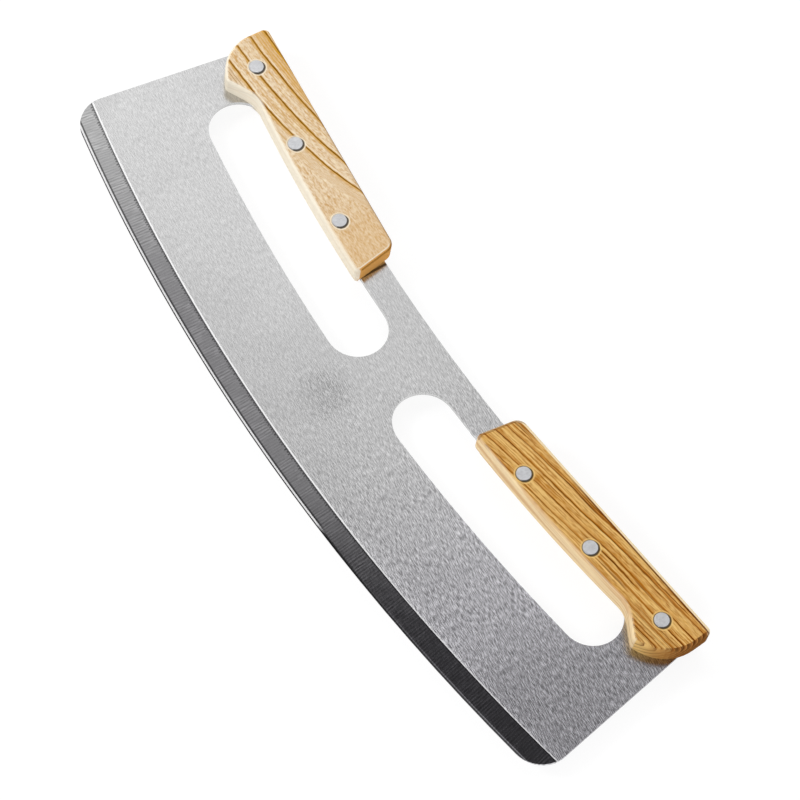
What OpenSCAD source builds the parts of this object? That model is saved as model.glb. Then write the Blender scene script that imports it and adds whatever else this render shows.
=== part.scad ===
// Rocking pizza knife: a wide curved steel blade with two finger slots and a
// riveted wooden grip at each end of its spine. It lies flat, cutting edge
// towards -Y, grips towards +Y, length along X, resting on the rear scales.

/* [Blade] */
// Radius of the curved cutting edge
edge_r = 917; // [890:1:960]
// Depth of the blade from cutting edge to spine
blade_w = 91.2; // [89:0.2:94]
// Half of the blade length, measured to the lower corner
blade_half = 177.6; // [172:0.4:184]
// Thickness of the steel
blade_t = 2; // [1.6:0.1:2.6]
// Lean of each blade end towards the middle, in degrees
end_lean = 9.1; // [6:0.1:11]
// Rounding of the two lower corners
corner_r = 14; // [8:0.5:16]
// Width of the ground bevel along the cutting edge
bevel_w = 9.3; // [6:0.1:14]
// Width of the fine honed strip at the very edge
hone_w = 1.1; // [0.6:0.1:1.6]
// Steel left at the inner line of the honed strip
hone_t = 0.7; // [0.6:0.05:0.9]
// Steel left at the cutting edge
edge_t = 0.3; // [0.2:0.05:0.4]

/* [Finger slots] */
// Width of each finger slot
slot_w = 27.4; // [24:0.1:28]
// Steel left between the two slots
bridge_w = 24; // [20:0.1:32]
// Steel left between each slot and the spine
bar_w = 13.2; // [12:0.1:15]
// Distance from the outer end of a slot to the blade's lower corner
slot_margin = 32.1; // [29:0.1:36]

/* [Grips] */
// Distance from the inner end of a slot to the inner end of its grip
grip_start = 31.8; // [28:0.1:36]
// How far a grip hangs over its slot
grip_over = 3; // [2:0.1:4]
// How far a grip stands past the spine at its inner end
past_in = 4.9; // [3:0.1:7]
// How far a grip stands past the spine at its outer end
past_out = 1.5; // [0.5:0.1:5]
// Distance from the outer end of a slot to the tip of the finger stop
stop_past = 6.3; // [5:0.1:8]
// How far the finger stop reaches out from the slot side
stop_reach = 9.1; // [7:0.1:10]
// Distance along the grip from the stop's tip to the outer end
heel_len = 15.3; // [14:0.1:18]
// How far the heel falls back from the stop's tip
heel_rise = 5.4; // [4:0.1:7]
// Hollow radius where the grip swells into the finger stop
hollow_r = 16; // [8:0.5:17]
// Radius of the rounded heel
heel_r = 20; // [12:0.5:22]
// Thickness of each front scale
front_t = 8.2; // [6:0.1:12]
// Rounding of the front scale's upper edges
front_round = 1.5; // [0.6:0.1:2]
// Thickness of each rear scale
rear_t = 4.5; // [4:0.1:8]
// Rounding of the rear scale's outer edges
rear_round = 0.8; // [0.4:0.1:1.2]
// How far the rear scale stands back inside the front scale's outline
rear_inset = 2.1; // [1:0.1:2.4]
// How far the hidden steel stands back inside the front scale's outline
tang_inset = 1; // [0.6:0.1:1.6]

/* [Rivets] */
// Distance from the slot side of a grip to its row of rivets
row_set = 5.8; // [5.6:0.1:8]
// Distance from the inner end of a grip to its first rivet
rivet_in = 25; // [20:0.1:30]
// Distance from the outer end of a grip to its last rivet
rivet_out = 16.2; // [13:0.1:19]
// Diameter of the front rivet heads
head_d = 6.6; // [5.4:0.1:7]
// Thickness of the front rivet heads
head_t = 1.6; // [1.2:0.1:2.2]
// How far the front heads stand proud of the wood
head_proud = 0.4; // [0.2:0.05:0.8]
// Chamfer around the front rivet heads
head_chamfer = 0.25; // [0.1:0.05:0.4]
// Diameter of the rear rivet heads
rear_head_d = 4.8; // [4.2:0.1:5]
// Thickness of the rear rivet heads
rear_head_t = 1; // [0.8:0.1:1.6]
// How far the rear heads sit below the wood
rear_sink = 0.2; // [0.1:0.05:0.5]
// Outer diameter of the sleeve through the steel
sleeve_d = 3.2; // [2.8:0.1:3.6]
// Diameter of the pin inside the sleeve
pin_d = 2; // [1.6:0.1:2.2]
// Gap left around every pin, sleeve and head
slip = 0.05; // [0.02:0.01:0.1]
// Gap left at the end of every pin and sleeve
end_gap = 0.5; // [0.2:0.1:1]

/* [Hidden] */
$fn = 48;
// the long curves and the rounded ends are made in finer steps
long_fn = 900;
round_fn = 96;
// every cutting shape runs this far past the face it cuts
over = 1;
// points along each rounded corner and rings up each rounded edge
corner_steps = 10;
round_steps = 4;
// straight part kept at each end of a grip's curved slot side
lead = 6;
// how far before the finger stop's tip the curved slot side ends
hollow_run = 19.3;
// how far a grip's two ends lean away from the blade's cross line
inner_lean = 3.1;
outer_lean = 1.3;
// rounding of the grip's corners, and the least left after an inset
inner_near_r = 2.5;
inner_far_r = 5;
outer_far_r = 2.5;
stop_r = 2.6;
least_r = 0.3;
// least wood left between a rear rivet head and the rear scale's rounded edge
least_wood = 0.3;
// how far the turned blank runs past the blade at each end, in degrees
sweep_spare = 2;

blade_z = rear_t;
front_z = blade_z + blade_t;
front_top = front_z + front_t;
spine_r = edge_r - blade_w;
slot_r = slot_w / 2;
slot_mid_r = spine_r + bar_w + slot_r;
slot_end = blade_half - slot_margin;
slot_start = asin((bridge_w / 2 + slot_r) / slot_mid_r);
slot_sweep = asin((slot_end - slot_r) / slot_mid_r) - slot_start;
grip_near = blade_w - bar_w - grip_over;
grip_in = bridge_w / 2 + grip_start;
stop_x = slot_end + stop_past;
grip_out = stop_x + heel_len;
grip_far_out = blade_w + past_out;
near_r = edge_r - grip_near;
row_r = near_r - row_set;
row_start = asin((grip_in + rivet_in) / row_r);
row_step = (asin((grip_out - rivet_out) / row_r) - row_start) / 2;
rear_edge = min(rear_round, row_set - rear_inset - rear_head_d / 2 - slip - least_wood);
head_seat = front_top + head_proud - head_t;
rear_seat = rear_sink + rear_head_t;
sweep = 2 * (asin(blade_half / edge_r) + sweep_spare);

// point at x, a given depth behind the cutting edge
function at(x, depth) = [x, edge_r - sqrt(pow(edge_r - depth, 2) - x * x)];
// point and direction on a curve about the blade's centre
function on(r, a) = [r * sin(a), edge_r - r * cos(a)];
function along(a) = [cos(a), sin(a)];
function unit(v) = v / norm(v);
function left_of(v) = [-v[1], v[0]];

corner = at(blade_half, 0);
// the whole part is centred on the rest face
mid_y = at(grip_out, grip_far_out)[1] / 2;

// corners of one grip's outline, counter-clockwise, with their radii
lead_a = asin((grip_in + lead) / near_r);
hollow_a = asin((stop_x - hollow_run) / near_r);
grip_pts = [
    on(near_r, lead_a) - lead * along(lead_a),
    on(near_r / cos((hollow_a - lead_a) / 2), (lead_a + hollow_a) / 2),
    on(near_r, hollow_a) + lead * along(hollow_a),
    at(stop_x, grip_near - stop_reach),
    at(grip_out, grip_near - stop_reach + heel_rise),
    at(grip_out - outer_lean, grip_far_out),
    at(grip_in + inner_lean, blade_w + past_in)
];
grip_radii = [inner_near_r, near_r, hollow_r, stop_r, heel_r, outer_far_r, inner_far_r];

// outline of a grip drawn inwards by a given amount; its outer corners are
// rounded enough to take the deepest inset that the piece needs
function grip_ring(inset, deepest) = [
    for (i = [0 : len(grip_pts) - 1])
        let (
            n = len(grip_pts),
            c = grip_pts[i],
            u = unit(c - grip_pts[(i + n - 1) % n]),
            w = unit(grip_pts[(i + 1) % n] - c),
            side = sign(u[0] * w[1] - u[1] * w[0]),
            r = side > 0 ? max(grip_radii[i], deepest + least_r) : grip_radii[i],
            bend = acos(u * w),
            mid = c - u * r * tan(bend / 2) + side * r * left_of(u),
            out = -side * left_of(u),
            start = atan2(out[1], out[0])
        )
        for (k = [0 : corner_steps])
            let (a = start + side * bend * k / corner_steps)
            mid + (r - side * inset) * [cos(a), sin(a)]
];

// waste outside the rounded upper edge of a slab with a grip's outline
module edge_waste(thick, inset, round_r) {
    levels = [
        for (k = [0 : round_steps])
            let (a = 90 * k / round_steps)
            [inset + round_r * (1 - cos(a)), thick - round_r * (1 - sin(a))],
        [inset + round_r, thick + over],
        [inset - over, thick + over],
        [inset - over, thick - round_r]
    ];
    rings = [for (l = levels) [for (p = grip_ring(l[0], inset + round_r)) [p[0], p[1], l[1]]]];
    m = len(rings[0]);
    n = len(levels);
    pts = [for (ring = rings) for (p = ring) p];
    faces = [
        for (j = [0 : n - 1])
            for (i = [0 : m - 1])
                let (up = (j + 1) % n * m, next = (i + 1) % m)
                [j * m + i, j * m + next, up + next, up + i]
    ];
    polyhedron(pts, faces);
}

// slab with a grip's outline, flat face at z = 0, rounded face up
module grip_slab(thick, inset, round_r) {
    difference() {
        linear_extrude(thick)
            polygon(grip_ring(inset, inset + round_r));
        edge_waste(thick, inset, round_r);
    }
}

// moves a shape into the shared frame, mirrored for the left grip
module placed(side) {
    translate([0, -mid_y, 0])
        mirror([side < 0 ? 1 : 0, 0, 0])
            children();
}

// place of one of a grip's three rivets, counted from the inner end
function rivet_xy(i) = on(row_r, row_start + i * row_step);

// runs its children at each rivet of one grip
module at_rivets() {
    for (i = [0 : 2])
        translate(rivet_xy(i))
            children();
}

// turned blank: flat steel with a ground bevel and a honed strip on both faces
module blade_blank() {
    half = blade_t / 2;
    translate([0, edge_r, blade_z + half])
        rotate([0, 0, -90 - sweep / 2])
            rotate_extrude(angle = sweep, $fn = long_fn)
                polygon([
                    [spine_r, -half],
                    [edge_r - bevel_w, -half],
                    [edge_r - hone_w, -hone_t / 2],
                    [edge_r, -edge_t / 2],
                    [edge_r, edge_t / 2],
                    [edge_r - hone_w, hone_t / 2],
                    [edge_r - bevel_w, half],
                    [spine_r, half]
                ]);
}

// everything between the two leaning ends
module between_ends() {
    far_y = blade_w + 2 * corner[1];
    low = corner[0] + (corner[1] + over) * tan(end_lean);
    high = corner[0] - (far_y - corner[1]) * tan(end_lean);
    translate([0, 0, blade_z - over])
        linear_extrude(blade_t + 2 * over)
            polygon([[-low, -over], [low, -over], [high, far_y], [-high, far_y]]);
}

// waste outside the rounding of the right lower corner
module corner_waste() {
    up = [-sin(end_lean), cos(end_lean)];
    inward = [-cos(end_lean), -sin(end_lean)];
    q = corner + inward * corner_r - [0, edge_r];
    reach = edge_r - corner_r;
    mid = corner + inward * corner_r + up * (-q * up - sqrt(pow(q * up, 2) - q * q + reach * reach));
    ray = unit(mid - [0, edge_r]);
    difference() {
        translate([0, 0, blade_z - over])
            linear_extrude(blade_t + 2 * over)
                polygon([
                    mid,
                    mid + ray * (corner_r + over),
                    mid + (ray - inward) * (corner_r + over),
                    mid - inward * (corner_r + over)
                ]);
        translate([mid[0], mid[1], blade_z - 2 * over])
            cylinder(r = corner_r, h = blade_t + 4 * over, $fn = round_fn);
    }
}

// one curved finger slot, round at both ends
module slot_cut() {
    z = blade_z - over;
    h = blade_t + 2 * over;
    translate([0, edge_r, z])
        rotate([0, 0, slot_start - 90])
            rotate_extrude(angle = slot_sweep, $fn = long_fn)
                translate([slot_mid_r - slot_r, 0])
                    square([slot_w, h]);
    for (a = [slot_start, slot_start + slot_sweep])
        translate([on(slot_mid_r, a)[0], on(slot_mid_r, a)[1], z])
            cylinder(r = slot_r, h = h, $fn = round_fn);
}

// steel hidden between the scales of one grip
module tang_tab() {
    translate([0, 0, blade_z])
        linear_extrude(blade_t)
            polygon(grip_ring(tang_inset, tang_inset));
}

module blade() {
    color("silver")
        difference() {
            union() {
                placed(1)
                    intersection() {
                        blade_blank();
                        between_ends();
                    }
                placed(1) tang_tab();
                placed(-1) tang_tab();
            }
            for (side = [-1, 1])
                placed(side) {
                    slot_cut();
                    corner_waste();
                    at_rivets()
                        translate([0, 0, blade_z - over])
                            cylinder(d = sleeve_d + 2 * slip, h = blade_t + 2 * over);
                }
        }
}

module front_scale(side) {
    color("burlywood")
        placed(side)
            difference() {
                translate([0, 0, front_z])
                    grip_slab(front_t, 0, front_round);
                at_rivets() {
                    translate([0, 0, front_z - over])
                        cylinder(d = sleeve_d + 2 * slip, h = front_t + 2 * over);
                    translate([0, 0, head_seat])
                        cylinder(d = head_d + 2 * slip, h = head_t + over);
                }
            }
}

module rear_scale(side) {
    color("tan")
        placed(side)
            difference() {
                translate([0, 0, rear_t])
                    mirror([0, 0, 1])
                        grip_slab(rear_t, rear_inset, rear_edge);
                at_rivets() {
                    translate([0, 0, -over])
                        cylinder(d = sleeve_d + 2 * slip, h = rear_t + 2 * over);
                    translate([0, 0, -over])
                        cylinder(d = rear_head_d + 2 * slip, h = rear_seat + over);
                }
            }
}

// front half of a rivet: chamfered head and solid pin
module rivet_pin(side, i) {
    pin_low = rear_seat + end_gap;
    top = front_top + head_proud;
    color("gainsboro")
        placed(side)
            translate(rivet_xy(i))
                rotate_extrude()
                    polygon([
                        [0, pin_low],
                        [pin_d / 2, pin_low],
                        [pin_d / 2, head_seat],
                        [head_d / 2, head_seat],
                        [head_d / 2, top - head_chamfer],
                        [head_d / 2 - head_chamfer, top],
                        [0, top]
                    ]);
}

// rear half of a rivet: sunk head and hollow sleeve
module rivet_sleeve(side, i) {
    sleeve_top = head_seat - end_gap;
    color("lightgray")
        placed(side)
            translate(rivet_xy(i))
                rotate_extrude()
                    polygon([
                        [0, rear_sink],
                        [rear_head_d / 2, rear_sink],
                        [rear_head_d / 2, rear_seat],
                        [sleeve_d / 2, rear_seat],
                        [sleeve_d / 2, sleeve_top],
                        [pin_d / 2 + slip, sleeve_top],
                        [pin_d / 2 + slip, rear_seat],
                        [0, rear_seat]
                    ]);
}

module scale_front_left() front_scale(-1);
module scale_front_right() front_scale(1);
module scale_rear_left() rear_scale(-1);
module scale_rear_right() rear_scale(1);
module pin_left_inner() rivet_pin(-1, 0);
module pin_left_middle() rivet_pin(-1, 1);
module pin_left_outer() rivet_pin(-1, 2);
module pin_right_inner() rivet_pin(1, 0);
module pin_right_middle() rivet_pin(1, 1);
module pin_right_outer() rivet_pin(1, 2);
module sleeve_left_inner() rivet_sleeve(-1, 0);
module sleeve_left_middle() rivet_sleeve(-1, 1);
module sleeve_left_outer() rivet_sleeve(-1, 2);
module sleeve_right_inner() rivet_sleeve(1, 0);
module sleeve_right_middle() rivet_sleeve(1, 1);
module sleeve_right_outer() rivet_sleeve(1, 2);

blade();
scale_front_left();
scale_front_right();
scale_rear_left();
scale_rear_right();
pin_left_inner();
pin_left_middle();
pin_left_outer();
pin_right_inner();
pin_right_middle();
pin_right_outer();
sleeve_left_inner();
sleeve_left_middle();
sleeve_left_outer();
sleeve_right_inner();
sleeve_right_middle();
sleeve_right_outer();
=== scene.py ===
import bpy, math
from mathutils import Matrix, Vector


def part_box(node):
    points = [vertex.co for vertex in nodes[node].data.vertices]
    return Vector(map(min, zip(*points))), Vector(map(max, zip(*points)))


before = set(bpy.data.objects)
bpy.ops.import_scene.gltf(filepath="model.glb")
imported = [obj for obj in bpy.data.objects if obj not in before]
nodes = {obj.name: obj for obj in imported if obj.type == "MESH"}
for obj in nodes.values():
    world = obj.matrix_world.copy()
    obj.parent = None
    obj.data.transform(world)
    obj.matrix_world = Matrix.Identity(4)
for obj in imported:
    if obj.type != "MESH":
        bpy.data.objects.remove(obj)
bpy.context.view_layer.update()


# shader helpers

def emptyTree(owner):
    owner.use_nodes = True
    owner.node_tree.nodes.clear()
    return owner.node_tree


def newFinish(name):
    finish = bpy.data.materials.new(name)
    tree = emptyTree(finish)
    out = tree.nodes.new("ShaderNodeOutputMaterial")
    surface = tree.nodes.new("ShaderNodeBsdfPrincipled")
    tree.links.new(surface.outputs["BSDF"], out.inputs["Surface"])
    return finish, tree, surface


def feed(tree, socket, value):
    if isinstance(value, bpy.types.NodeSocket):
        tree.links.new(value, socket)
    else:
        socket.default_value = value


def calc(tree, operation, a, b=0.0):
    node = tree.nodes.new("ShaderNodeMath")
    node.operation = operation
    feed(tree, node.inputs[0], a)
    feed(tree, node.inputs[1], b)
    return node.outputs[0]


def add(tree, a, b):
    return calc(tree, "ADD", a, b)


def less(tree, a, b):
    return calc(tree, "SUBTRACT", a, b)


def times(tree, a, b):
    return calc(tree, "MULTIPLY", a, b)


def divide(tree, a, b):
    return calc(tree, "DIVIDE", a, b)


def larger(tree, a, b):
    return calc(tree, "MAXIMUM", a, b)


def distance(tree, a, b):  # from the origin to the point a, b
    return calc(tree, "SQRT", add(tree, times(tree, a, a), times(tree, b, b)))


def mixed(tree, amount, a, b):  # plain number between a and b
    node = tree.nodes.new("ShaderNodeMix")
    feed(tree, node.inputs[0], amount)
    feed(tree, node.inputs[2], a)
    feed(tree, node.inputs[3], b)
    return node.outputs[0]


def band(tree, value, start, end, first=0.0, last=1.0):  # smooth step from first to last
    node = tree.nodes.new("ShaderNodeMapRange")
    node.interpolation_type = "SMOOTHSTEP"
    for socket, part in zip(node.inputs, (value, start, end, first, last)):
        feed(tree, socket, part)
    return node.outputs[0]


def strip(tree, value, start, end, soft):  # 1 between start and end, 0 outside
    up = band(tree, value, start - soft, start + soft)
    down = band(tree, value, end - soft, end + soft, 1.0, 0.0)
    return times(tree, up, down)


def blend(tree, amount, a, b, mode="MIX"):  # colour between a and b
    node = tree.nodes.new("ShaderNodeMix")
    node.data_type = "RGBA"
    node.blend_type = mode
    feed(tree, node.inputs[0], amount)
    feed(tree, node.inputs[6], a)
    feed(tree, node.inputs[7], b)
    return node.outputs[2]


def ramp(tree, value, stops):
    node = tree.nodes.new("ShaderNodeValToRGB")
    feed(tree, node.inputs[0], value)
    elements = node.color_ramp.elements
    while len(elements) < len(stops):
        elements.new(0.5)
    for element, (place, shade) in zip(elements, stops):
        element.position = place
        element.color = shade
    return node.outputs[0]


def vector(tree, x, y, z):
    node = tree.nodes.new("ShaderNodeCombineXYZ")
    for socket, value in zip(node.inputs, (x, y, z)):
        feed(tree, socket, value)
    return node.outputs[0]


def parts(tree, source):  # x, y and z of a vector
    node = tree.nodes.new("ShaderNodeSeparateXYZ")
    tree.links.new(source, node.inputs[0])
    return node.outputs[0], node.outputs[1], node.outputs[2]


def speckle(tree, place, scale, detail=3.0, rough=0.55):  # noise, 0 to 1
    node = tree.nodes.new("ShaderNodeTexNoise")
    feed(tree, node.inputs["Vector"], place)
    node.inputs["Scale"].default_value = scale
    node.inputs["Detail"].default_value = detail
    node.inputs["Roughness"].default_value = rough
    return node.outputs[0]


def spread(tree, noise):  # stretches noise over the whole range from 0 to 1
    return band(tree, noise, 0.3, 0.7)


def fibres(tree, place, stretch, scale, detail, rough=0.55):  # noise drawn out along x
    x, y, z = place
    return speckle(tree, vector(tree, times(tree, x, stretch), y, z), scale, detail, rough)


def placeOn(tree):  # the piece's own x, y and z in metres
    return parts(tree, tree.nodes.new("ShaderNodeTexCoord").outputs["Object"])


def facingOf(tree):  # the way each facet faces
    return parts(tree, tree.nodes.new("ShaderNodeNewGeometry").outputs["True Normal"])


def dent(tree, surface, height, strength, depth):
    node = tree.nodes.new("ShaderNodeBump")
    node.inputs["Strength"].default_value = strength
    node.inputs["Distance"].default_value = depth
    feed(tree, node.inputs["Height"], height)
    tree.links.new(node.outputs[0], surface.inputs["Normal"])


def choose(tree, amount, a, b):  # shader between a and b
    node = tree.nodes.new("ShaderNodeMixShader")
    feed(tree, node.inputs[0], amount)
    tree.links.new(a.outputs[0], node.inputs[1])
    tree.links.new(b.outputs[0], node.inputs[2])
    return node.outputs[0]


def grey(level, violet=0.0):
    return (level, level - violet, level + violet, 1.0)


def colour(red, green, blue):  # 0 to 255 as seen on a screen
    linear = []
    for level in (red / 255, green / 255, blue / 255):
        linear.append(level / 12.92 if level <= 0.04045 else ((level + 0.055) / 1.055) ** 2.4)
    return (linear[0], linear[1], linear[2], 1.0)


# blade steel

bladeSteel = {
    "edgeRadius": 0.917,
    "bevelWidth": 0.0093,
    "edgeHighlightWidth": 0.0011,
    "edgeHighlightEnd": 0.043,  # the painted highlight strip at the cutting edge stops here along x
    "steel": 0.615,
    "roughness": 0.21,
    "bevelRoughness": 0.10,
    "brushLength": 0.0026,
    "brushWidth": 0.00036,
    "brushSlope": 0.12,
    "brushShare": (0.75, 0.90),  # strokes against fine grain, at the -X end and past the middle
    "brushLight": 0.13,  # contrast of the brush marks on the -X half
    "brushDeep": 0.34,  # and at the +X end
    "coolShade": (0.965, 0.955, 1.0, 1.0),  # painted shade with a cool tint, at the +X end
    "endShade": 0.81,  # painted shade: the flat darkens to this at the +X end
    "spineShade": 0.93,  # and, as painted shade, to this along the spine
    "smudgePlace": (-0.008, -0.018),
    "smudgeSize": 0.017,
    "smudgeDark": 0.13,
    "bevelTone": 0.88,
    "bevelChange": (0.03, 0.09),  # along x the bevel and its crease change their look here
    "grindPitch": 0.0013,
    "grindContrast": 0.20,
    "creaseShadeWidth": 0.0005,
    "creaseShadeTooth": 0.0011,  # longest tooth of the painted crease shade, on the -X half
    "creaseHighlightWidth": (0.00062, 0.00050),  # of the painted highlight line beside the bevel, at -X and at +X
    "shadeColour": grey(0.06),
    "highlightColour": grey(0.90),
}


def edgeField(s, tree, x, y):  # how far in from the cutting edge, and how far along it
    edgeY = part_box("blade")[0][1]
    fromCentre = less(tree, edgeY + s["edgeRadius"], y)
    depth = less(tree, s["edgeRadius"], distance(tree, x, fromCentre))
    along = times(tree, calc(tree, "ARCTAN2", x, fromCentre), s["edgeRadius"])
    return depth, along


def brushMarks(s, tree, place):  # short strokes along the length, over a fine grain
    x, y, z = place
    whole = vector(tree, x, y, z)
    squeeze = s["brushWidth"] / s["brushLength"]
    drift = times(tree, speckle(tree, whole, 90, 1.0), 0.0003)
    across = add(tree, add(tree, y, drift), times(tree, x, s["brushSlope"]))
    strokes = spread(tree, fibres(tree, (x, across, z), squeeze, 1 / s["brushWidth"], 2.0, 0.6))
    grain = spread(tree, speckle(tree, whole, 0.8 / s["brushWidth"], 3.0, 0.6))
    share = band(tree, x, -0.16, 0.06, *s["brushShare"])
    return mixed(tree, share, grain, strokes), grain


def dullSpot(s, tree, x, y, clouds):  # near the middle of the blade
    dx = less(tree, x, s["smudgePlace"][0])
    dy = less(tree, y, s["smudgePlace"][1])
    spot = band(tree, distance(tree, dx, dy), 0.15 * s["smudgeSize"], s["smudgeSize"], 1.0, 0.0)
    return times(tree, spot, add(tree, clouds, 0.6))


def shadeFlat(s, tree, place, depth, marks, toRight):  # tone of the flat, with painted shade at the +X end and along the spine, and contrast of its marks
    x, y, z = place
    clouds = spread(tree, speckle(tree, vector(tree, x, y, z), 42, 4.0, 0.6))
    smudge = dullSpot(s, tree, x, y, clouds)
    contrast = band(tree, x, -0.03, 0.11, s["brushLight"], s["brushDeep"])
    contrast = add(tree, contrast, times(tree, smudge, 0.10))
    tone = add(tree, 1.0, times(tree, contrast, times(tree, add(tree, marks, -0.5), 4.0)))
    tone = times(tree, tone, add(tree, 0.97, times(tree, clouds, 0.06)))
    tone = times(tree, tone, less(tree, 1.0, times(tree, smudge, s["smudgeDark"])))
    crease = s["bevelWidth"]
    besideCrease = times(tree, band(tree, depth, crease, crease + 0.006, 1.0, 0.0), toRight)
    tone = times(tree, tone, add(tree, 1.0, times(tree, besideCrease, 0.12)))
    # painted shade: darker towards the +X end and along the spine
    tone = times(tree, tone, band(tree, x, 0.11, 0.15, 1.0, s["endShade"]))
    tone = times(tree, tone, band(tree, y, 0.0, 0.035, 1.0, s["spineShade"]))
    return tone, contrast


def grindMarks(s, tree, depth, along):  # fine lines across the edge, and finer scratches
    wobble = speckle(tree, vector(tree, along, times(tree, depth, 0.2), 0.0), 300, 1.0)
    phase = times(tree, along, 2 * math.pi / s["grindPitch"])
    phase = add(tree, phase, times(tree, wobble, 7.0))
    lines = add(tree, 0.5, times(tree, calc(tree, "SINE", phase), 0.5))
    scratch = speckle(tree, vector(tree, along, times(tree, depth, 0.12), 0.0), 1500, 2.0)
    return lines, spread(tree, scratch)


def shadeBevel(s, tree, depth, along, cut, toRight):
    patches = speckle(tree, vector(tree, along, times(tree, depth, 0.4), 0.0), 130, 3.0)
    patches = spread(tree, patches)
    contrast = add(tree, mixed(tree, toRight, 0.15, 0.6), patches)
    contrast = times(tree, s["grindContrast"], contrast)
    tone = times(tree, contrast, times(tree, add(tree, cut, -0.5), 3.0))
    tone = add(tree, s["bevelTone"], tone)
    return times(tree, tone, add(tree, 0.95, times(tree, patches, 0.10)))


def creaseShadeAt(s, tree, depth, lines, scratch, onBevel, toRight):  # painted shade with teeth by the crease, at the ragged end of the grind
    tooth = times(tree, lines, add(tree, scratch, 0.2))
    tooth = times(tree, tooth, mixed(tree, toRight, s["creaseShadeTooth"], 0.0))
    start = less(tree, s["bevelWidth"] - s["creaseShadeWidth"], tooth)
    creaseShade = times(tree, band(tree, depth, start, add(tree, start, 0.00025)), onBevel)
    return times(tree, creaseShade, mixed(tree, toRight, 0.72, 0.85))


def creaseHighlight(s, tree, depth, grain, toRight):  # painted highlight line where the flat begins
    crease = s["bevelWidth"]
    atLeft, atRight = s["creaseHighlightWidth"]
    end = mixed(tree, toRight, crease + atLeft, crease + atRight)
    fade = band(tree, depth, end, add(tree, end, 0.0002), 1.0, 0.0)
    line = times(tree, band(tree, depth, crease, crease + 0.0002), fade)
    # the painted highlight breaks up along the +X half
    worn = mixed(tree, toRight, 1.0, add(tree, 0.45, times(tree, grain, 0.4)))
    return times(tree, line, worn)


def edgeShadowAndHighlight(s, tree, x, depth):  # painted shadow lines at the cutting edge and the painted highlight strip between them
    highlightShown = band(tree, x, s["edgeHighlightEnd"] - 0.004, s["edgeHighlightEnd"] + 0.004, 1.0, 0.0)
    inner = strip(tree, depth, s["edgeHighlightWidth"] + 0.0001, s["edgeHighlightWidth"] + 0.0008, 0.00012)
    outline = band(tree, depth, 0.0003, 0.0005, 1.0, 0.0)
    beyond = times(tree, band(tree, depth, 0.0005, 0.0009, 1.0, 0.0), less(tree, 1.0, highlightShown))
    dark = add(tree, times(tree, larger(tree, inner, outline), highlightShown), beyond)
    bright = times(tree, strip(tree, depth, 0.0004, s["edgeHighlightWidth"], 0.0001), highlightShown)
    return dark, bright


def gripContactShadow(tree, x, y):  # painted contact shadow where the left grip ends on the steel
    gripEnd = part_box("scale_front_left")[1][0]
    contactShadow = strip(tree, x, gripEnd - 0.001, gripEnd + 0.0002, 0.0002)
    return times(tree, contactShadow, band(tree, y, 0.018, 0.020))


def makeBladeSteel(s):
    finish, tree, surface = newFinish("brushed_blade_steel")
    place = placeOn(tree)
    x, y = place[:2]
    depth, along = edgeField(s, tree, x, y)
    toRight = band(tree, x, *s["bevelChange"])

    # the flat is brushed along its length and the bevel is ground across the edge
    marks, grain = brushMarks(s, tree, place)
    flat, contrast = shadeFlat(s, tree, place, depth, marks, toRight)
    lines, scratch = grindMarks(s, tree, depth, along)
    cut = mixed(tree, 0.5, lines, scratch)
    bevel = shadeBevel(s, tree, depth, along, cut, toRight)
    onBevel = band(tree, depth, s["bevelWidth"] - 0.00006, s["bevelWidth"] + 0.00006, 1.0, 0.0)
    tone = times(tree, mixed(tree, onBevel, flat, bevel), s["steel"])
    # painted shade with a cool tint towards the +X end
    shadeTint = blend(tree, band(tree, x, 0.02, 0.12), grey(1.0), s["coolShade"])
    steel = blend(tree, 1.0, shadeTint, vector(tree, tone, tone, tone), "MULTIPLY")

    # painted shade and highlight lines along the crease and the cutting edge, and a painted contact
    # shadow by the grip
    creaseShade = creaseShadeAt(s, tree, depth, lines, scratch, onBevel, toRight)
    steel = blend(tree, creaseShade, steel, s["shadeColour"])
    edgeShadow, edgeHighlight = edgeShadowAndHighlight(s, tree, x, depth)
    steel = blend(tree, times(tree, edgeShadow, 0.8), steel, s["shadeColour"])
    bright = larger(tree, creaseHighlight(s, tree, depth, grain, toRight), edgeHighlight)
    steel = blend(tree, bright, steel, s["highlightColour"])
    steel = blend(tree, times(tree, gripContactShadow(tree, x, y), 0.85), steel, s["shadeColour"])

    tree.links.new(steel, surface.inputs["Base Color"])
    # less metallic where the highlight is painted
    tree.links.new(less(tree, 1.0, times(tree, bright, 0.8)), surface.inputs["Metallic"])
    polish = mixed(tree, onBevel, s["roughness"], s["bevelRoughness"])
    polish = add(tree, polish, times(tree, add(tree, marks, -0.5), 0.05))
    tree.links.new(polish, surface.inputs["Roughness"])
    relief = mixed(tree, onBevel, times(tree, marks, contrast), times(tree, cut, 0.04))
    dent(tree, surface, relief, 0.25, 0.00025)
    return finish


# grip wood; its year rings are slanted sheets, which show as lines on every face

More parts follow.
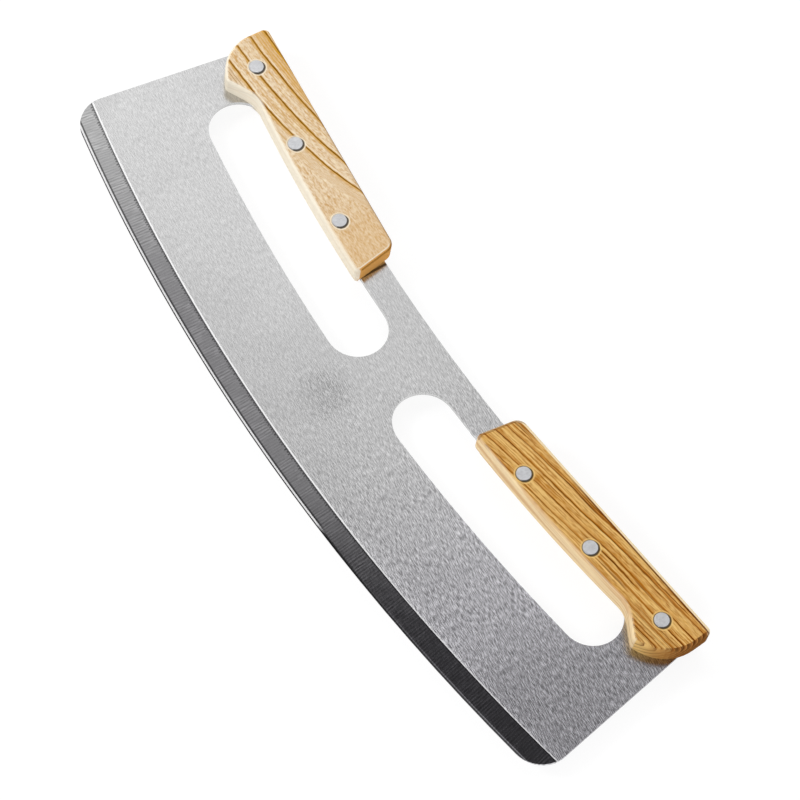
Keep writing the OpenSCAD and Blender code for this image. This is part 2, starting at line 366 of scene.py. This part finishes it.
leftWood = {
    "name": "honey_wood",
    "cream": colour(246, 234, 210),
    "base": colour(228, 204, 164),
    "deep": colour(196, 152, 96),
    "warm": colour(208, 162, 96),
    "gold": colour(204, 150, 28),
    "line": colour(132, 84, 0),
    # painted light: the pale colour laid on the lit slot side and on the spine fillet's highlight
    "side": colour(242, 235, 218),
    "roughness": 0.6,
    "fibre": 0.90,
    "fleck": 0.62,  # short pale flecks, and how far they are drawn out along the grain
    "fleckStretch": 0.35,
    "fleckScale": 1300,
    "fineLines": 0.12,
    "fineOuter": 0.45,  # more of the golden streaks at the -X end
    "broad": 0.25,  # cream in broad soft bands
    "warmUpper": 0.5,  # warm shade and golden lines at the outer spine side
    "goldUpper": 0.9,
    "warmInner": 0.35,  # warm shade towards the inner end
    "straightBelow": (-0.9, -0.2),  # fibres run straight below these rings
    "crowdBelow": (-0.30, -0.12),  # and close lines crowd below these, near the heel
    "start": -0.160,  # the first line begins here and climbs by rise, bend and swell
    "firstLine": 0.0313,
    "rise": 0.0,
    "bend": 1.1,
    "swell": 10.0,
    "drift": 0.0016,
    "tilt": 1.2,
    "ringGap": 0.0071,
    "lowestLine": -0.5,
    "lineWidth": 0.00040,
    "lineFrom": 0.80,  # a line is at least this strong
    "goldBelow": 0.0018,  # golden shade on each side of a line
    "goldAbove": 0.0008,
    "creamAt": 0.0010,  # thin cream line beside each line
    "warmAbove": 0.0,
    "rivetShadowStart": 0.0002,
    "endGrain": colour(228, 164, 80),
    "endLine": colour(156, 94, 0),
    "endContrast": 0.2,
    "endPitch": 0.00125,
    "endTilt": 1.2,
    "endFacing": (0.5, 0.8),  # how far a side must face +X to count as an end
    "endFrom": (0.88, 0.96),
    "litSideAmount": 0.85,
    "sideLines": 0.10,
    "sideOnHeel": 1.0,  # 1 where the painted light on the slot side runs on round the heel
    "spineHighlight": 0.0,  # painted highlight on the fillet along the spine side
    "shoulderHighlight": 0.7,  # or a painted highlight line over the inner end
    "edgeShadeFrom": (-0.124, -0.112),  # painted shade darkens the spine side edge from here on
    "innerLine": 0.0,
}

rightWood = {
    "name": "amber_wood",
    "cream": colour(234, 196, 124),
    "base": colour(204, 148, 62),
    "deep": colour(156, 94, 30),
    "warm": colour(192, 128, 46),
    "gold": colour(176, 108, 28),
    "line": colour(96, 44, 6),
    # painted light: the pale colour laid on the lit slot side and on the spine fillet's highlight
    "side": colour(246, 226, 186),
    "roughness": 0.58,
    "fibre": 0.80,
    "fleck": 0.70,
    "fleckStretch": 0.14,
    "fleckScale": 1900,
    "fineLines": 0.95,
    "fineOuter": 0.0,
    "broad": 0.65,
    "warmUpper": 0.0,
    "goldUpper": 0.0,
    "warmInner": 0.0,
    "straightBelow": None,
    "crowdBelow": (-1.7, -1.1),
    "start": 0.046,
    "firstLine": 0.0253,
    "rise": 0.205,
    "bend": -0.26,
    "swell": 0.0,
    "drift": 0.0026,
    "tilt": 2.4,
    "ringGap": 0.00475,
    "lowestLine": -9.0,
    "lineWidth": 0.00022,
    "lineFrom": 0.35,
    "goldBelow": 0.0003,
    "goldAbove": 0.0010,
    "creamAt": -0.0009,
    "warmAbove": 0.25,
    "rivetShadowStart": 0.0004,
    "endGrain": colour(86, 42, 12),
    "endLine": colour(236, 160, 84),
    "endContrast": 0.6,
    "endPitch": 0.0026,
    "endTilt": 0.9,
    "endFacing": (0.7, 0.95),
    "endFrom": (0.985, 0.995),
    "litSideAmount": 0.75,
    "sideLines": 0.40,
    "sideOnHeel": 0.0,
    "spineHighlight": 0.9,
    "shoulderHighlight": 0.0,
    "edgeShadeFrom": (0.074, 0.094),
    "innerLine": 0.5,
}

topEdge = {  # spine side of the grips' upper face: where its inner end is, and its slope
    "x": 0.05093,
    "y": 0.04144,
    "slope": 0.1018,
}


closePitch = 0.00125  # between the close lines at the heel and the outer spine side


def acrossRings(s, tree, place, underTop):
    # the rings climb along the grip and slant down through it, with a slow and a quick waver
    x, y = place[:2]
    run = less(tree, x, s["start"])
    if not s["rise"]:
        run = larger(tree, run, 0.0)
    climb = add(tree, s["bend"], times(tree, run, s["swell"]))
    climb = times(tree, run, add(tree, s["rise"], times(tree, run, climb)))
    across = less(tree, y, add(tree, climb, s["firstLine"]))
    across = less(tree, across, times(tree, underTop, s["tilt"]))
    wave = add(tree, fibres(tree, place, 0.4, 60, 3.0), -0.5)
    across = add(tree, across, times(tree, wave, s["drift"]))
    jitter = add(tree, fibres(tree, place, 0.6, 520, 1.0), -0.5)
    return add(tree, across, times(tree, jitter, 0.0004))


def layFibres(s, tree, place, across):  # broad bands, fibres at two sizes and pale flecks
    fine = spread(tree, fibres(tree, place, 0.35, 1250, 2.0, 0.6))
    medium = spread(tree, fibres(tree, place, 0.18, 700, 2.0, 0.6))
    broad = spread(tree, fibres(tree, (place[0], across, place[2]), 0.08, 300, 2.0))
    fleck = spread(tree, fibres(tree, place, s["fleckStretch"], s["fleckScale"], 2.0, 0.6))
    wood = blend(tree, times(tree, broad, s["broad"]), s["base"], s["cream"])
    wood = blend(tree, times(tree, medium, s["fibre"] * 0.7), wood, s["deep"])
    wood = blend(tree, times(tree, fine, s["fibre"]), wood, s["deep"])
    wood = blend(tree, times(tree, fleck, s["fleck"]), wood, s["cream"])
    return wood, fine, medium


def warmShades(s, tree, offset, upper, wood):
    besideLine = strip(tree, offset, -0.0001, s["ringGap"] * 0.32, 0.0010)
    wood = blend(tree, times(tree, besideLine, s["warmAbove"]), wood, s["warm"])
    return blend(tree, times(tree, upper, s["warmUpper"]), wood, s["warm"])


def thinStreaks(s, tree, place, upper, wood):  # long golden, dark and pale streaks
    x, across, z = place
    streaks = fibres(tree, (x, across, times(tree, z, 0.3)), 0.025, 1300, 2.0)
    golden = add(tree, s["fineLines"], times(tree, upper, 0.35))
    golden = add(tree, golden, band(tree, x, -0.13, -0.07, s["fineOuter"], 0.0))
    golden = times(tree, band(tree, streaks, 0.55, 0.63), golden)
    wood = blend(tree, times(tree, golden, 0.75), wood, s["gold"])
    dark = times(tree, band(tree, streaks, 0.62, 0.70), s["fineLines"])
    wood = blend(tree, dark, wood, s["line"])
    pale = times(tree, band(tree, streaks, 0.45, 0.36), s["fineLines"])
    return blend(tree, times(tree, pale, 0.8), wood, s["cream"])


def crowdLines(s, tree, x, ring, upper, wood):
    closeTurn = times(tree, add(tree, ring, 20.0), s["ringGap"] / closePitch)
    closeLines = calc(tree, "POWER", calc(tree, "FRACT", closeTurn), 3.0)
    outward = band(tree, calc(tree, "ABSOLUTE", x), 0.130, 0.148)
    crowd = times(tree, outward, band(tree, ring, *s["crowdBelow"], 1.0, 0.0))
    wood = blend(tree, times(tree, times(tree, closeLines, crowd), 0.7), wood, s["line"])
    upperGold = times(tree, times(tree, closeLines, upper), s["goldUpper"])
    return blend(tree, upperGold, wood, s["gold"])


def yearLines(s, tree, ring, offset, strength, wood):  # golden shade, thin cream line, dark core
    shown = band(tree, ring, s["lowestLine"] - 0.25, s["lowestLine"])
    golden = band(tree, offset, 0.0001, s["goldAbove"], 0.0, -1.0)
    golden = add(tree, band(tree, offset, -s["goldBelow"], -0.0001), golden)
    wood = blend(tree, times(tree, times(tree, golden, shown), 0.8), wood, s["gold"])
    partner = strip(tree, offset, s["creamAt"] - 0.0002, s["creamAt"] + 0.0002, 0.0002)
    partner = times(tree, times(tree, partner, shown), add(tree, 0.35, times(tree, strength, 0.5)))
    wood = blend(tree, partner, wood, s["cream"])
    fromLine = calc(tree, "ABSOLUTE", offset)
    core = band(tree, fromLine, s["lineWidth"] * 0.4, s["lineWidth"] * 1.3, 1.0, 0.0)
    core = times(tree, core, shown)
    coreTone = add(tree, s["lineFrom"], times(tree, strength, 1 - s["lineFrom"]))
    return blend(tree, times(tree, core, coreTone), wood, s["line"]), core


def makeWood(s, side):
    finish, tree, surface = newFinish(s["name"])
    place = placeOn(tree)
    x, y, z = place
    underTop = add(tree, z, -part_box("scale_front_" + side)[1][2])
    across = acrossRings(s, tree, place, underTop)
    ring = divide(tree, across, s["ringGap"])
    turn = calc(tree, "FRACT", add(tree, ring, 20.5))
    offset = times(tree, add(tree, turn, -0.5), s["ringGap"])  # from the nearest line
    upper = band(tree, ring, 1.9, 2.4)  # the rings at the outer spine side
    strength = spread(tree, fibres(tree, (x, across, z), 0.5, 80, 1.0))  # how strong the lines are
    level = across
    if s["straightBelow"]:
        level = mixed(tree, band(tree, ring, *s["straightBelow"]), y, across)

    wood, fine, medium = layFibres(s, tree, (x, level, z), across)
    wood = warmShades(s, tree, offset, upper, wood)
    wood = thinStreaks(s, tree, (x, across, z), upper, wood)
    wood = crowdLines(s, tree, x, ring, upper, wood)
    wood = blend(tree, band(tree, x, -0.09, -0.05, 0.0, s["warmInner"]), wood, s["warm"])
    wood, core = yearLines(s, tree, ring, offset, strength, wood)
    # painted shadow and painted highlight ring round each rivet
    for rivet in ("inner", "middle", "outer"):
        wood = rivetShadowRing(s, tree, x, y, "pin_" + side + "_" + rivet, wood)
    lean = add(tree, across, times(tree, underTop, s["tilt"] - s["endTilt"]))
    wood = finishSides(s, tree, place, lean, strength, wood)

    tree.links.new(wood, surface.inputs["Base Color"])
    tree.links.new(add(tree, s["roughness"], times(tree, fine, 0.12)), surface.inputs["Roughness"])
    surface.inputs["Specular IOR Level"].default_value = 0.0
    height = less(tree, times(tree, add(tree, fine, medium), -0.3), core)
    dent(tree, surface, height, 0.35, 0.0002)
    return finish


def rivetShadowRing(s, tree, x, y, pin, wood):  # painted shadow on one side of a rivet and a painted pale highlight ring round it
    near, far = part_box(pin)
    dx = add(tree, x, -(near[0] + far[0]) / 2)
    dy = add(tree, y, -(near[1] + far[1]) / 2)
    away = distance(tree, dx, dy)
    head = (far[0] - near[0]) / 2
    shady = divide(tree, add(tree, times(tree, dx, 0.9), times(tree, dy, 0.4)), away)
    reach = band(tree, shady, -0.1, 0.8, head + s["rivetShadowStart"], head + 0.0008)
    dark = band(tree, away, less(tree, reach, 0.0002), reach, 1.0, 0.0)
    pale = band(tree, away, add(tree, reach, 0.0004), add(tree, reach, 0.0007), 1.0, 0.0)
    wood = blend(tree, times(tree, pale, 0.65), wood, s["cream"])
    return blend(tree, times(tree, dark, 0.85), wood, grey(0.02))


def foldedLines(s, tree, lean, strength):  # the lines of the upper face, folded over its edge
    fold = calc(tree, "FRACT", divide(tree, add(tree, lean, 0.1), s["endPitch"]))
    lines = calc(tree, "POWER", fold, 3.0)
    return times(tree, lines, add(tree, 0.4, times(tree, strength, 0.6)))


def endFace(s, tree, nz, facesEnd, lines, wood):
    grainEnd = blend(tree, times(tree, lines, s["endContrast"]), s["endGrain"], s["endLine"])
    onEnd = times(tree, facesEnd, band(tree, nz, *s["endFrom"], 1.0, 0.0))
    return blend(tree, times(tree, onEnd, 0.85), wood, grainEnd)


def heelSide(s, tree, x, ny, plan, lines, wood):  # where the painted light on the slot side stops at the heel
    onHeel = band(tree, ny, -0.15, -0.4, 0.0, 1.0 - s["sideOnHeel"])
    onHeel = times(tree, onHeel, band(tree, plan, 0.2, 0.5))
    onHeel = times(tree, onHeel, band(tree, x, 0.160, 0.1665, 0.9, 0.0))
    heel = blend(tree, band(tree, x, 0.152, 0.164, 0.0, 0.8), s["cream"], s["deep"])
    heelLines = times(tree, lines, band(tree, x, 0.146, 0.152))
    return blend(tree, onHeel, wood, blend(tree, heelLines, heel, s["line"]))


def sideStreaks(s, tree, place, onSide, wood):
    x, y, z = place
    sheets = fibres(tree, (x, times(tree, y, 0.1), z), 0.03, 700, 2.0)
    sheets = times(tree, onSide, band(tree, sheets, 0.5, 0.62))
    return blend(tree, times(tree, sheets, s["sideLines"]), wood, s["gold"])


def spineEdgeShade(s, tree, x, y, nz, spineEdge):  # painted shade along the spine edge: on the spine's fillet, or just inside its painted highlight
    if s["spineHighlight"]:
        fromEnd = add(tree, calc(tree, "ABSOLUTE", x), -topEdge["x"])
        inside = add(tree, times(tree, fromEnd, topEdge["slope"]), topEdge["y"])
        line = strip(tree, less(tree, inside, y), 0.0, 0.0007, 0.0002)
    else:
        line = times(tree, spineEdge, band(tree, nz, 0.9, 0.7))
    return times(tree, line, band(tree, x, *s["edgeShadeFrom"]))


def roundedEdges(s, tree, place, facing, facesEnd, wood):
    x, y = place[:2]
    nx, ny, nz = facing
    rounded = times(tree, band(tree, nz, 0.1, 0.3), band(tree, nz, 0.985, 0.995, 1.0, 0.0))
    spineEdge = times(tree, rounded, band(tree, ny, 0.05, 0.15))
    # painted highlight on the spine fillet and over the inner end
    wood = blend(tree, times(tree, spineEdge, s["spineHighlight"]), wood, s["side"])
    litShoulder = times(tree, times(tree, rounded, band(tree, nz, 0.9, 0.97)), facesEnd)
    wood = blend(tree, times(tree, litShoulder, s["shoulderHighlight"]), wood, s["cream"])
    edge = spineEdgeShade(s, tree, x, y, nz, spineEdge)
    wood = blend(tree, times(tree, edge, 0.85), wood, s["line"])
    innerEnd = times(tree, rounded, band(tree, nx, -0.05, -0.12))
    innerEnd = times(tree, innerEnd, band(tree, x, 0.060, 0.066, 1.0, 0.0))
    return blend(tree, times(tree, innerEnd, s["innerLine"]), wood, s["line"])


def finishSides(s, tree, place, lean, strength, wood):
    facing = facingOf(tree)
    nx, ny, nz = facing
    plan = divide(tree, nx, larger(tree, distance(tree, nx, ny), 0.05))  # how far a side faces +X
    lines = foldedLines(s, tree, lean, strength)
    facesEnd = band(tree, plan, *s["endFacing"])
    wood = endFace(s, tree, nz, facesEnd, lines, wood)
    onSide = band(tree, ny, -0.10, -0.30)  # towards the slot, painted paler as painted light
    onSide = times(tree, onSide, band(tree, plan, 0.2, 0.6, 1.0, s["sideOnHeel"]))
    wood = blend(tree, times(tree, onSide, s["litSideAmount"]), wood, s["side"])
    wood = heelSide(s, tree, place[0], ny, plan, lines, wood)
    wood = sideStreaks(s, tree, place, onSide, wood)
    return roundedEdges(s, tree, place, facing, facesEnd, wood)


# rivet metal

rivetMetal = {
    "colour": (0.81, 0.82, 0.84, 1.0),
    "worn": (0.62, 0.625, 0.64, 1.0),
    "shadedRim": grey(0.10),
    "roughness": 0.36,
    "metallic": 0.85,
}


def makeRivetMetal(s):
    finish, tree, surface = newFinish("satin_rivet_metal")
    x, y, z = placeOn(tree)
    scuff = speckle(tree, vector(tree, x, times(tree, y, 0.3), z), 2600, 4.0, 0.6)
    scuff = spread(tree, scuff)
    clouds = spread(tree, speckle(tree, vector(tree, x, y, z), 500, 2.0))
    tone = add(tree, times(tree, scuff, 0.6), times(tree, clouds, 0.4))
    metal = blend(tree, tone, s["worn"], s["colour"])
    nx, ny = facingOf(tree)[:2]
    shady = add(tree, times(tree, nx, 0.9), times(tree, ny, 0.4))
    # painted shade on the rim facets that face away from the light
    metal = blend(tree, times(tree, band(tree, shady, 0.05, 0.3), 0.9), metal, s["shadedRim"])
    tree.links.new(metal, surface.inputs["Base Color"])
    tree.links.new(add(tree, s["roughness"], times(tree, scuff, 0.12)), surface.inputs["Roughness"])
    surface.inputs["Metallic"].default_value = s["metallic"]
    dent(tree, surface, scuff, 0.15, 0.0002)
    return finish


finishes = {
    "blade": makeBladeSteel(bladeSteel),
    "left": makeWood(leftWood, "left"),
    "right": makeWood(rightWood, "right"),
    "rivet": makeRivetMetal(rivetMetal),
}
print("made", len(finishes), "finishes")

for name, piece in nodes.items():
    if name == "blade":
        kind = "blade"
    elif name.startswith("scale"):
        kind = name.split("_")[-1]
    else:
        kind = "rivet"
    piece.data.materials.clear()
    piece.data.materials.append(finishes[kind])
print("finishes on", len(nodes), "pieces")


# floor and light

studio = {
    "floorSize": 12.0,
    "floorGlow": 0.86,
    "floorShadow": 0.18,
    "floorMatt": 0.8,
    "skyStrength": 1.15,
    "skyStops": (  # how far a direction points to -X and +Y, grey level, faint violet
        (0.000, 0.360, 0.004),
        (0.100, 0.340, 0.004),
        (0.170, 0.100, 0.002),
        (0.210, 0.042, 0.001),
        (0.370, 0.040, 0.001),
        (0.395, 0.044, 0.001),
        (0.408, 0.062, 0.002),
        (0.419, 0.120, 0.003),
        (0.430, 0.400, 0.006),
        (0.450, 0.350, 0.006),
        (0.484, 0.370, 0.006),
        (0.500, 0.340, 0.007),
        (0.515, 0.325, 0.007),
        (0.535, 0.370, 0.007),
        (0.560, 0.520, 0.004),
        (0.580, 0.640, 0.002),
        (0.600, 0.795, 0.0),
        (0.620, 0.755, 0.0),
        (0.650, 0.900, 0.0),
        (0.690, 1.090, 0.0),
        (0.740, 1.060, 0.0),
    ),
    "horizon": 0.75,
    "lampDistance": 1.6,
    "lamps": {  # direction, size and power
        "key_lamp": ((-0.62, -0.58, 0.52), 0.45, 10.8),
        "fill_lamp": ((-0.75, 0.45, 0.55), 0.8, 5.0),
        "front_lamp": ((0.70, -0.60, 0.45), 0.8, 8.5),
    },
}


def makeFloorFinish(s):
    # to the eye and in mirror images it is white with a soft shadow, to all other light matt
    finish = bpy.data.materials.new("pale_floor")
    tree = emptyTree(finish)
    glow = tree.nodes.new("ShaderNodeEmission")
    glow.inputs["Strength"].default_value = s["floorGlow"]
    matt = tree.nodes.new("ShaderNodeBsdfDiffuse")
    matt.inputs["Color"].default_value = grey(s["floorShadow"])
    seen = tree.nodes.new("ShaderNodeAddShader")
    tree.links.new(glow.outputs[0], seen.inputs[0])
    tree.links.new(matt.outputs[0], seen.inputs[1])
    unseen = tree.nodes.new("ShaderNodeBsdfDiffuse")
    unseen.inputs["Color"].default_value = grey(s["floorMatt"])
    ray = tree.nodes.new("ShaderNodeLightPath").outputs
    mirrored = larger(tree, ray["Is Glossy Ray"], ray["Is Transmission Ray"])
    toEye = larger(tree, ray["Is Camera Ray"], mirrored)
    out = tree.nodes.new("ShaderNodeOutputMaterial")
    tree.links.new(choose(tree, toEye, unseen, seen), out.inputs["Surface"])
    return finish


def makeFloor(s):
    half = s["floorSize"] / 2
    corners = [(-half, -half, 0), (half, -half, 0), (half, half, 0), (-half, half, 0)]
    mesh = bpy.data.meshes.new("floor")
    mesh.from_pydata(corners, [], [(0, 1, 2, 3)])
    mesh.materials.append(makeFloorFinish(s))
    floor = bpy.data.objects.new("floor", mesh)
    bpy.context.scene.collection.objects.link(floor)


def makeSky(s):  # bright towards -X and +Y, dim overhead, pale near the horizon, white to the eye
    world = bpy.data.worlds.new("studio")
    bpy.context.scene.world = world
    tree = emptyTree(world)
    x, y, z = parts(tree, tree.nodes.new("ShaderNodeTexCoord").outputs["Generated"])
    stops = [(place, grey(level, violet)) for place, level, violet in s["skyStops"]]
    soft = ramp(tree, less(tree, y, x), stops)
    pale = band(tree, z, 0.6, 0.2, 0.0, s["horizon"])
    sky = blend(tree, 1.0, soft, vector(tree, pale, pale, pale), "LIGHTEN")
    light = tree.nodes.new("ShaderNodeBackground")
    tree.links.new(sky, light.inputs["Color"])
    light.inputs["Strength"].default_value = s["skyStrength"]
    white = tree.nodes.new("ShaderNodeBackground")
    white.inputs["Strength"].default_value = 1.0
    toEye = tree.nodes.new("ShaderNodeLightPath").outputs["Is Camera Ray"]
    out = tree.nodes.new("ShaderNodeOutputWorld")
    tree.links.new(choose(tree, toEye, light, white), out.inputs["Surface"])


def makeLamp(name, direction, size, power, away):
    data = bpy.data.lights.new(name, "AREA")
    data.shape = "SQUARE"
    data.size = size
    data.energy = power
    lamp = bpy.data.objects.new(name, data)
    lamp.location = Vector(direction).normalized() * away
    lamp.rotation_euler = (-Vector(direction)).to_track_quat("-Z", "Y").to_euler()
    lamp.visible_glossy = False  # the steel mirrors the soft sky only
    bpy.context.scene.collection.objects.link(lamp)


makeFloor(studio)
makeSky(studio)
for name, (direction, size, power) in studio["lamps"].items():
    makeLamp(name, direction, size, power, studio["lampDistance"])
print("floor, sky and", len(studio["lamps"]), "lamps made")


# camera

view = {
    "place": (0.40116, -0.39280, 1.11983),
    "right": (0.5545, 0.82586, 0.10238),
    "down": (0.7712, -0.46373, -0.43612),
    "lens": 135.0,
}

cameraData = bpy.data.cameras.new("camera")
cameraData.lens = view["lens"]
cameraData.sensor_width = 36.0
camera = bpy.data.objects.new("camera", cameraData)
right = Vector(view["right"]).normalized()
up = -Vector(view["down"])
up = (up - right * up.dot(right)).normalized()
back = right.cross(up)
turned = Matrix((right, up, back)).transposed().to_4x4()
camera.matrix_world = Matrix.Translation(view["place"]) @ turned
bpy.context.scene.collection.objects.link(camera)
bpy.context.scene.camera = camera
bpy.context.scene.view_settings.view_transform = "Standard"
print("camera placed")
